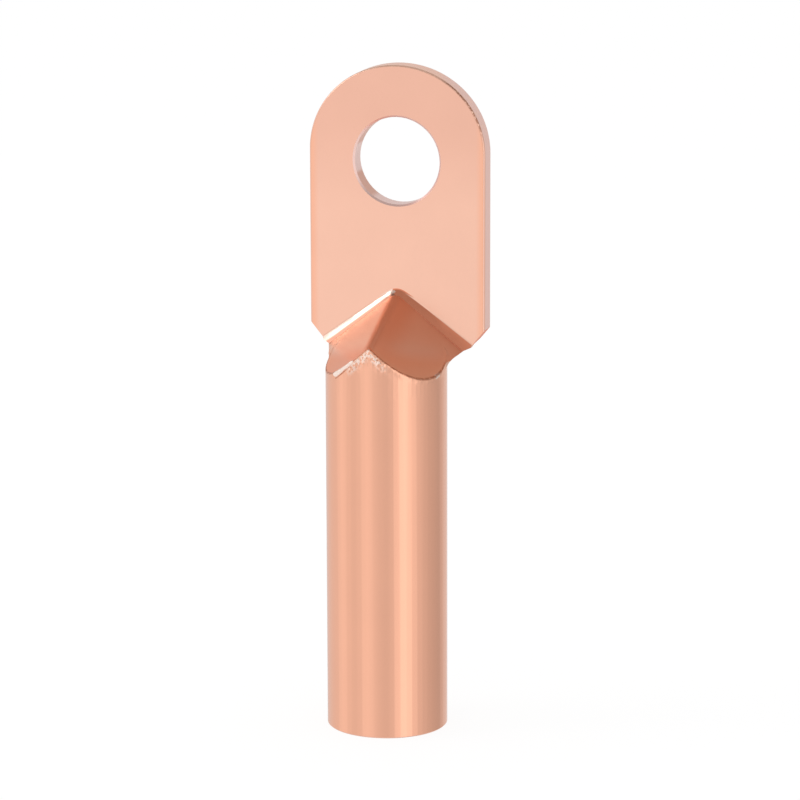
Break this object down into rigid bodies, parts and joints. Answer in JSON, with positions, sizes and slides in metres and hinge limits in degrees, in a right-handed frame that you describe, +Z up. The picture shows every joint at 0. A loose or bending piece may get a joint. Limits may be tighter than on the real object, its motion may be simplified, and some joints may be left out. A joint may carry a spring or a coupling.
{
  "type": "cable lug",
  "caption": "Copper cable lug: a round barrel, blind-bored for a stranded conductor, pressed out into a flat round-ended palm with a stud hole.",
  "frame": {"origin": "centre of the barrel's mouth, in the plane of its saw-cut end", "axes": "+Z up the barrel's axis towards the palm's crown, +X across the palm, -Y out of the palm's pressed front face, +Y out of its flat contact face"},
  "size_m": [0.03, 0.02, 0.1096],
  "materials": {
    "copper": "bare copper: drawn and lightly polished barrel, smooth pressed palm"
  },
  "bodies": {
    "root": {"cable_lug": "copper"}
  },
  "joints": []
}
